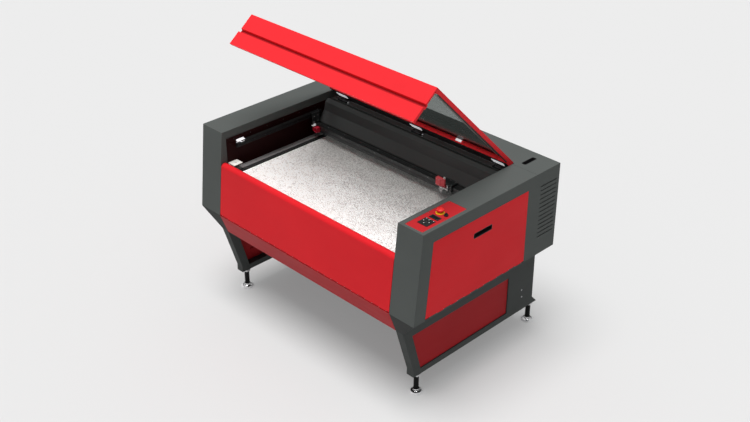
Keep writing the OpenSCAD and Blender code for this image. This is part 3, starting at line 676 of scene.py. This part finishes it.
# magnetic catch on the inner face of the rear rail
bm = bmesh.new()
prism(bm, [(0.2755, 1.0470), (0.2725, 1.0475), (0.2705, 1.0495), (0.2705, 1.0595), (0.2725, 1.0610), (0.2755, 1.0612)], CATCH_X - 0.019, CATCH_X + 0.019)
prism(bm, [(0.2706, 1.0515), (0.2692, 1.0525), (0.2692, 1.0565), (0.2706, 1.0575)], CATCH_X - 0.012, CATCH_X + 0.012)
piece("lid_catch", bm, "zinc_painted_glow", "lid", 0.0008, lid=True)
bm = bmesh.new()
for x in (-0.652, 0.652, 0.075):
    lathe(bm, [(0, 0), (0.0055, 0), (0.0068, 0.0012), (0.0068, 0.0036), (0.0058, 0.0046), (0, 0.0048)], (x, 0.302, 1.0386), (0, 0, -1), 28)
piece("lid_bumpers", bm, "black_plastic", "lid", lid=True)
bm = bmesh.new()
for i in range(13):
    screw(bm, (-0.56 + i * 0.0934, 0.2755, 1.0520), (0, -1, 0), 0.0024)
piece("lid_frame_screws", bm, "black_plastic", "lid", lid=True)
# painted shade in the grip groove: darker red strips on its wall and floor
bm = bmesh.new()
prism(bm, [lp(0.0992, -0.0119), lp(0.1062, -0.0119), lp(0.1062, -0.0112), lp(0.0990, -0.0112)], -0.6700, 0.6700)
piece("lid_grip_shade", bm, "groove_red_painted_shade", "lid", lid=True)
bm = bmesh.new()
prism(bm, [lp(0.1064, -0.0119), lp(0.1128, -0.0119), lp(0.1130, -0.0112), lp(0.1064, -0.0112)], -0.6700, 0.6700)
piece("lid_grip_floor_painted_shade", bm, "groove_mid_painted_shade", "lid", lid=True)
# glazing beads under the window
bm = bmesh.new()
for s in (-1, 1):
    add_box(bm, (min(s * 0.597, s * 0.611), -0.480, 1.0600), (max(s * 0.597, s * 0.611), 0.262, 1.0619))
piece("lid_glazing_beads", bm, "bead_grey", "lid", 0.0005, lid=True)

# ------------------------------------------------------------------ deck side of the hinges
bm = bmesh.new()
for x in HX:
    for s in (-1, 1):
        screw(bm, (x + s * 0.022, 0.309, 1.0282), (0, 0, 1), 0.0042)
piece("hinge_block_screws", bm, "stainless", "chassis")
bm = bmesh.new()
for x in HX:
    # turned stop post with a collar next to each block
    lathe(bm, [(0.0062, 0), (0.0062, 0.004), (0.0045, 0.005), (0.0045, 0.0098), (0.0058, 0.0106), (0.0058, 0.0130), (0.0048, 0.0139), (0, 0.0140)], (x + 0.047, 0.306, 1.019), (0, 0, 1), 28)
piece("lid_stop_posts", bm, "stainless", "chassis")
# channel behind the plenum: floor in a lighter grey as painted light, and a black back as painted shade
bm = bmesh.new()
prism(bm, [(0.2955, 1.0191), (0.3450, 1.0191), (0.3450, 1.0199), (0.2975, 1.0199), (0.2955, 1.0215)], -0.6685, 0.6685)
piece("deck_channel_floor_painted_light", bm, "channel_grey_painted_light", "chassis")
bm = bmesh.new()
prism(bm, [(0.3459, 1.0200), (0.3459, 1.0500), (0.3449, 1.0495), (0.3447, 1.0230), (0.3430, 1.0200)], -0.6685, 0.6685)
piece("deck_channel_back_painted_shade", bm, "rubber_black", "chassis")

# ------------------------------------------------------------------ chamber details
bm = bmesh.new()
for s in (-1, 1):
    x = s * 0.669
    w = -s * 0.0155
    lo_x, hi_x = sorted((x, x + w))
    add_box(bm, (lo_x, -0.4010, 0.9795), (hi_x, -0.3770, 0.9815))
    add_box(bm, (lo_x, -0.4230, 0.9900), (hi_x, -0.3720, 0.9920))
    add_box(bm, (min(x, x - s * 0.002), -0.4230, 0.9740), (max(x, x - s * 0.002), -0.3720, 0.9980))
piece("belt_idler_brackets", bm, "zinc_painted_glow", "chassis", 0.0006)
bm = bmesh.new()
for s in (-1, 1):
    for y in (-0.389, 0.178):
        lathe(bm, [(0, 0.9816), (0.0062, 0.9816), (0.0062, 0.9824), (0.0050, 0.9826), (0.0050, 0.9890), (0.0062, 0.9892), (0.0062, 0.9899), (0, 0.9899)], (s * 0.6600, y, 0), (0, 0, 1), 30)
piece("belt_idler_pulleys", bm, "stainless", "chassis")


def belt(bm, x, y0, y1, zc, r, w, t=0.0011, pitch=0.005):
    """Flat loop in the X-Y plane round two pulleys, with teeth on its inside; w is its height."""
    pts = []
    steps = 14
    for k in range(steps + 1):
        a = math.pi + math.pi * k / steps
        pts.append((x + r * math.cos(a), y0 + r * math.sin(a)))
    for k in range(steps + 1):
        a = math.pi * k / steps
        pts.append((x + r * math.cos(a), y1 + r * math.sin(a)))
    n = len(pts)
    cx, cy = x, (y0 + y1) / 2
    outer, inner = [], []
    for k, (px, py) in enumerate(pts):
        by = min(max(py, y0), y1)
        d = Vector((px - x, py - by))
        d.normalize()
        outer.append((px + d.x * t / 2, py + d.y * t / 2))
        inner.append((px - d.x * t / 2, py - d.y * t / 2))
    rings = []
    for z in (zc - w / 2, zc + w / 2):
        rings.append(([bm.verts.new((a, b, z)) for a, b in outer], [bm.verts.new((a, b, z)) for a, b in inner]))
    for k in range(n):
        j = (k + 1) % n
        (o0, i0), (o1, i1) = rings
        bm.faces.new((o0[k], o0[j], o1[j], o1[k]))
        bm.faces.new((i0[k], i1[k], i1[j], i0[j]))
        bm.faces.new((o0[k], i0[k], i0[j], o0[j]))
        bm.faces.new((o1[k], o1[j], i1[j], i1[k]))
    m = int((y1 - y0) / pitch)
    for sx in (-1, 1):
        for k in range(m):
            yy = y0 + (k + 0.5) * pitch
            xa = x + sx * (r - t / 2)
            xb = xa - sx * 0.0008
            add_box(bm, (min(xa, xb), yy - 0.0011, zc - w / 2), (max(xa, xb), yy + 0.0011, zc + w / 2))


bm = bmesh.new()
for s in (-1, 1):
    belt(bm, s * 0.6600, -0.389, 0.178, 0.98575, 0.0056, 0.0058)
piece("y_belts", bm, "rubber_black", "chassis", smooth=30)

# rail screws and wall screws
bm = bmesh.new()
for s in (-1, 1):
    for i in range(8):
        screw(bm, (s * 0.6550, -0.385 + i * 0.08, 0.9665), (-s, 0, 0), 0.0030)
    for i in range(6):
        screw(bm, (s * 0.6689, -0.44 + i * 0.12, 1.008), (-s, 0, 0), 0.0032)
piece("chamber_screws", bm, "black_plastic", "chassis")

# ------------------------------------------------------------------ gantry and head
bm = bmesh.new()
lathe(bm, [(0, 0), (0.0078, 0), (0.0078, 0.0012), (0, 0.0016)], (-0.600, 0.1185, 0.900), (0, -1, 0), 36)
piece("gantry_mirror", bm, "stainless", "gantry")
bm = bmesh.new()
for z in (0.888, 0.9105):
    for x in (-0.609, -0.591):
        screw(bm, (x, 0.100, z), (0, -1, 0), 0.0018)
for i in range(9):
    screw(bm, (-0.54 + i * 0.135, 0.127, 0.912), (0, -1, 0), 0.0024)
    screw(bm, (-0.54 + i * 0.135, 0.152, 0.920), (0, 0, 1), 0.0024)
for s in (-1, 1):
    for z in (0.892, 0.930, 0.965):
        screw(bm, (s * 0.641, 0.130, z), (-s, 0, 0), 0.0032)
        screw(bm, (s * 0.641, 0.160, z), (-s, 0, 0), 0.0032)
piece("gantry_screws", bm, "stainless", "gantry")
bm = bmesh.new()
prism(bm, [(0.1050, 0.9135), (0.1270, 0.9135), (0.1270, 0.9250), (0.1245, 0.9250), (0.1245, 0.9160), (0.1050, 0.9160)], -0.640, -0.622)
piece("gantry_end_bracket", bm, "zinc", "gantry", 0.0006)
bm = bmesh.new()
for s in (-1, 1):
    # V-wheels that run on the side rails
    for y in (0.128, 0.162):
        lathe(bm, [(0.003, -0.0035), (0.0075, -0.0035), (0.0085, -0.0025), (0.0070, 0), (0.0085, 0.0025), (0.0075, 0.0035), (0.003, 0.0035)],
              (s * 0.6455, y, 0.9755), (1, 0, 0), 30)
piece("gantry_wheels", bm, "steel", "gantry")

bm = bmesh.new()
# knurled lens ring and the air nozzle tip
prof = []
seg = 60
ring = []
m0 = (0.386, 0.1065)
for zi, (z, rad) in enumerate(((0.8945, 0.0128), (0.9045, 0.0128))):
    ring.append([bm.verts.new((m0[0] + (rad + (0.0004 if i % 2 else -0.0003)) * math.cos(2 * math.pi * i / seg),
                               m0[1] + (rad + (0.0004 if i % 2 else -0.0003)) * math.sin(2 * math.pi * i / seg), z)) for i in range(seg)])
for i in range(seg):
    j = (i + 1) % seg
    bm.faces.new((ring[0][i], ring[0][j], ring[1][j], ring[1][i]))
bm.faces.new(ring[0])
bm.faces.new(ring[1])
lathe(bm, [(0, 0.8740), (0.0024, 0.8740), (0.0030, 0.8752), (0.0030, 0.8768), (0, 0.8768)], (m0[0], m0[1], 0), (0, 0, 1), 28)
piece("lens_focus_ring", bm, "stainless", "carriage", smooth=20)
bm = bmesh.new()
lathe(bm, [(0, 0), (0.0034, 0), (0.0042, 0.001), (0.0042, 0.005), (0.0030, 0.006), (0.0030, 0.010), (0.0036, 0.0105), (0.0036, 0.012), (0.0022, 0.013), (0, 0.013)], (0.4265, 0.108, 0.9165), (0, 0, 1), 28)
piece("air_fitting", bm, "stainless", "carriage")
bm = bmesh.new()
prism(bm, [(0.1120, 0.9575), (0.1185, 0.9575), (0.1185, 0.9675), (0.1135, 0.9675), (0.1120, 0.9660)], 0.3930, 0.4040)
piece("head_connector", bm, "key_plastic", "carriage", 0.0008)
bm = bmesh.new()
for x, z in ((0.3560, 0.9515), (0.3755, 0.9515), (0.3560, 0.9190), (0.3755, 0.9190)):
    screw(bm, (x, 0.0970, z), (0, -1, 0), 0.0020)
for x in (0.412, 0.438):
    for z in (0.893, 0.920):
        screw(bm, (x, 0.119, z), (0, -1, 0), 0.0026)
for x in (0.360, 0.398, 0.436):
    screw(bm, (x, 0.128, 0.930), (0, 0, 1), 0.0024)
    screw(bm, (x, 0.166, 0.930), (0, 0, 1), 0.0024)
piece("head_screws", bm, "stainless", "carriage")

# ------------------------------------------------------------------ controls
bm = bmesh.new()
prism(bm, [(-0.3648, 1.0689), (-0.3452, 1.0689), (-0.3452, 1.0698), (-0.3648, 1.0698)], 0.7402, 0.7858)
piece("status_display", bm, "display_glass", "chassis", 0.0003)
bm = bmesh.new()
for i, x in enumerate((0.7400, 0.7620, 0.7840)):
    lathe(bm, [(0.0024, -0.0005), (0.0024, 0.0002), (0.0016, 0.0009), (0, 0.0012)], (x, -0.3885, 1.0695), (0, 0, 1), 20)
piece("keypad_lamps", bm, "key_plastic", "chassis")
bm = bmesh.new()
lathe(bm, [(0.0050, -0.0005), (0.0050, 0.0008), (0.0040, 0.0014), (0, 0.0016)], (0.762, -0.415, 1.0695), (0, 0, 1), 28)
piece("keypad_centre", bm, "black_plastic", "chassis")
# raised white direction arrows on the four jog keys
JOG = {"front": "jog_front", "back": "jog_back", "left": "jog_left", "right": "jog_right"}
for tag, ox, oy in (("front", 0.0, -0.018), ("back", 0.0, 0.018), ("left", -0.018, 0.0), ("right", 0.018, 0.0)):
    bm = bmesh.new()
    ux, uy = ox / 0.018, oy / 0.018
    cx, cy = 0.762 + ox, -0.415 + oy
    tri = [(cx + ux * 0.0036, cy + uy * 0.0036), (cx - ux * 0.0020 - uy * 0.0034, cy - uy * 0.0020 + ux * 0.0034), (cx - ux * 0.0020 + uy * 0.0034, cy - uy * 0.0020 - ux * 0.0034)]
    lo_ = [bm.verts.new((x, y, 1.0720)) for x, y in tri]
    hi_ = [bm.verts.new((x, y, 1.0727)) for x, y in tri]
    bm.faces.new(hi_)
    bm.faces.new(list(reversed(lo_)))
    for k in range(3):
        j = (k + 1) % 3
        bm.faces.new((lo_[k], lo_[j], hi_[j], hi_[k]))
    piece("jog_arrow_" + tag, bm, "key_plastic", JOG[tag], smooth=0)
bm = bmesh.new()
for x in (0.7060, 0.8090):
    for y in (-0.4930, -0.3425, -0.1920):
        countersunk(bm, (x, y, 1.0674), (0, 0, 1), 0.0028)
piece("control_panel_screws", bm, "steel", "chassis")
# release arrows of the stop button: three shallow raised ridges
bm = bmesh.new()
ex, ey = 0.749, -0.305
for k in range(3):
    a0 = k * 2 * math.pi / 3
    inner, outer, tin, tout = [], [], [], []
    for q in range(7):
        a = a0 + q * 0.16
        wgt = 0.0015 if q < 6 else 0.0002
        for lst, rr, z in ((inner, 0.0115 - wgt, 1.0905), (outer, 0.0115 + wgt, 1.0905), (tin, 0.0115 - wgt * 0.7, 1.0925), (tout, 0.0115 + wgt * 0.7, 1.0925)):
            lst.append(bm.verts.new((ex + rr * math.cos(a), ey + rr * math.sin(a), z)))
    for q in range(6):
        bm.faces.new((tin[q], tin[q + 1], tout[q + 1], tout[q]))
        bm.faces.new((inner[q], inner[q + 1], tin[q + 1], tin[q]))
        bm.faces.new((outer[q], tout[q], tout[q + 1], outer[q + 1]))
        bm.faces.new((inner[q], outer[q], outer[q + 1], inner[q + 1]))
    bm.faces.new((inner[0], tin[0], tout[0], outer[0]))
    bm.faces.new((inner[6], outer[6], tout[6], tin[6]))
piece("estop_ridges", bm, "estop_red", "estop")

# ------------------------------------------------------------------ casings, rear and stand
bm = bmesh.new()
for i in range(13):
    z = 0.985 - i * 0.0253
    y0, y1 = 0.3688, 0.4972
    vs = []
    for y in (y0, y1):
        vs.append([bm.verts.new((x, y, zz)) for x, zz in ((0.8378, z + 0.0034), (0.8368, z + 0.0034), (0.8290, z - 0.0060), (0.8300, z - 0.0068))])
    bm.faces.new(vs[0])
    bm.faces.new(list(reversed(vs[1])))
    for k in range(4):
        j = (k + 1) % 4
        bm.faces.new((vs[0][k], vs[1][k], vs[1][j], vs[0][j]))
piece("louvre_blades", bm, "casing_grey", "chassis", smooth=0)

bm = bmesh.new()
for z in (0.750, 0.905):
    for k in range(7):
        a0 = 2 * math.pi * k / 7
        grid = []
        for q in range(6):
            rr = 0.0215 + 0.0325 * q / 5
            row = []
            for w in range(5):
                a = a0 + (w / 4 - 0.5) * 0.62 + 0.10 * q / 5
                row.append(bm.verts.new((0.8245 + 0.008 * (w / 4), 0.433 + rr * math.cos(a), z + rr * math.sin(a))))
            grid.append(row)
        for q in range(5):
            for w in range(4):
                bm.faces.new((grid[q][w], grid[q][w + 1], grid[q + 1][w + 1], grid[q + 1][w]))
o = piece("fan_blades", bm, "black_plastic", "chassis")
so = o.modifiers.new("thick", "SOLIDIFY")
so.thickness = 0.0014
so.offset = 0

bm = bmesh.new()
for z in (0.6, 0.72, 0.84, 0.96, 1.045):
    for s in (-1, 1):
        screw(bm, (s * 0.655, 0.520, z), (0, 1, 0), 0.0040)
        screw(bm, (s * 0.690, 0.520, z), (0, 1, 0), 0.0040)
        screw(bm, (s * 0.824, 0.520, z), (0, 1, 0), 0.0040)
for i in range(9):
    screw(bm, (-0.60 + i * 0.15, 0.520, 0.462), (0, 1, 0), 0.0040)
    screw(bm, (-0.60 + i * 0.15, 0.520, 1.052), (0, 1, 0), 0.0040)
for s in (-1, 1):
    for k in range(6):
        a = math.radians(30 + 60 * k)
        screw(bm, (s * 0.330 + 0.0565 * math.cos(a), 0.523, 0.560 + 0.0565 * math.sin(a)), (0, 1, 0), 0.0030)
for x, z in ((-0.6225, 0.665), (-0.5655, 0.665)):
    screw(bm, (x, 0.523, z), (0, 1, 0), 0.0024)
piece("rear_screws", bm, "steel", "chassis")

bm = bmesh.new()
for s in (-1, 1):
    screw(bm, (s * 0.722, 0.426, 0.263), (s, 0, 0), 0.0050)
    screw(bm, (s * 0.722, 0.430, 0.216), (s, 0, 0), 0.0050)
piece("stand_screws", bm, "steel", "chassis")

# jam nuts on the levelling feet
for tag, cx, cy in (("front_left", -0.697, -0.390), ("front_right", 0.697, -0.390), ("rear_left", -0.697, 0.532), ("rear_right", 0.697, 0.532)):
    bm = bmesh.new()
    lathe(bm, [(0.0143, 0.1095), (0.0190, 0.1095), (0.0205, 0.1105), (0.0205, 0.1200), (0.0190, 0.1210), (0.0143, 0.1210)], (cx, cy, 0), (0, 0, 1), 48, hexes=(1, 2, 3, 4))
    piece("jam_nut_" + tag, bm, "steel", "foot_" + tag, smooth=20)

# front door: magnetic strikes on the upper flange
bm = bmesh.new()
for x in (-0.60, 0.0, 0.60):
    add_box(bm, (x - 0.022, -0.4921, 0.8515), (x + 0.022, -0.4892, 0.8620))
piece("door_magnets", bm, "stainless", "front_door", 0.0010)

# stiffening ribs of the service door's inside
bm = bmesh.new()
for z in (0.66, 0.80, 0.95):
    prism(bm, [(-0.40, z), (0.23, z), (0.23, z + 0.012), (-0.40, z + 0.012)], 0.8285, 0.8352)
piece("side_door_ribs", bm, "panel_red", "side_door", 0.0015)

# seam of the removable rear cover on the right casing
bm = bmesh.new()
for lo_, hi_ in (((0.6745, 0.3300, 1.06795), (0.8365, 0.3312, 1.06815)),):
    add_box(bm, lo_, hi_)
piece("cover_seam", bm, "frame_dark", "chassis", 0.00005)

# ------------------------------------------------------------------ floor and light
def stage_plane():
    me = bpy.data.meshes.new("floor")
    s = 40
    me.from_pydata([(-s, -s, 0), (s, -s, 0), (s, s, 0), (-s, s, 0)], [], [(0, 1, 2, 3)])
    o = bpy.data.objects.new("floor", me)
    sc.collection.objects.link(o)
    t = Tree("floor")
    b = t.bsdf(Base_Color=(0.46, 0.46, 0.46, 1), Roughness=1.0)
    b.inputs["Emission Color"].default_value = (1, 1, 1, 1)
    b.inputs["Emission Strength"].default_value = 0.215
    b.inputs["Specular IOR Level"].default_value = 0.0
    me.materials.append(t.m)


stage_plane()
w = bpy.data.worlds.new("world")
sc.world = w
w.use_nodes = True
wt = w.node_tree
bg = wt.nodes["Background"]
tc = wt.nodes.new("ShaderNodeTexCoord")
sx = wt.nodes.new("ShaderNodeSeparateXYZ")
rp = wt.nodes.new("ShaderNodeValToRGB")
wt.links.new(tc.outputs["Generated"], sx.inputs[0])
wt.links.new(sx.outputs["Z"], rp.inputs["Fac"])
rp.color_ramp.elements[0].position = 0.0
rp.color_ramp.elements[0].color = (0.02, 0.02, 0.02, 1)
rp.color_ramp.elements[1].position = 1.0
rp.color_ramp.elements[1].color = (1.0, 1.0, 1.0, 1)
wt.links.new(rp.outputs["Color"], bg.inputs["Color"])
bg.inputs["Strength"].default_value = 0.62


def sun(name, toward, power, spread):
    d = bpy.data.lights.new(name, "SUN")
    d.energy = power
    d.angle = math.radians(spread)
    o = bpy.data.objects.new(name, d)
    sc.collection.objects.link(o)
    o.rotation_mode = "QUATERNION"
    o.rotation_quaternion = Vector(toward).to_track_quat("-Z", "Y")
    return o


sun("key", (0.03, 0.18, -0.98), 3.05, 36)
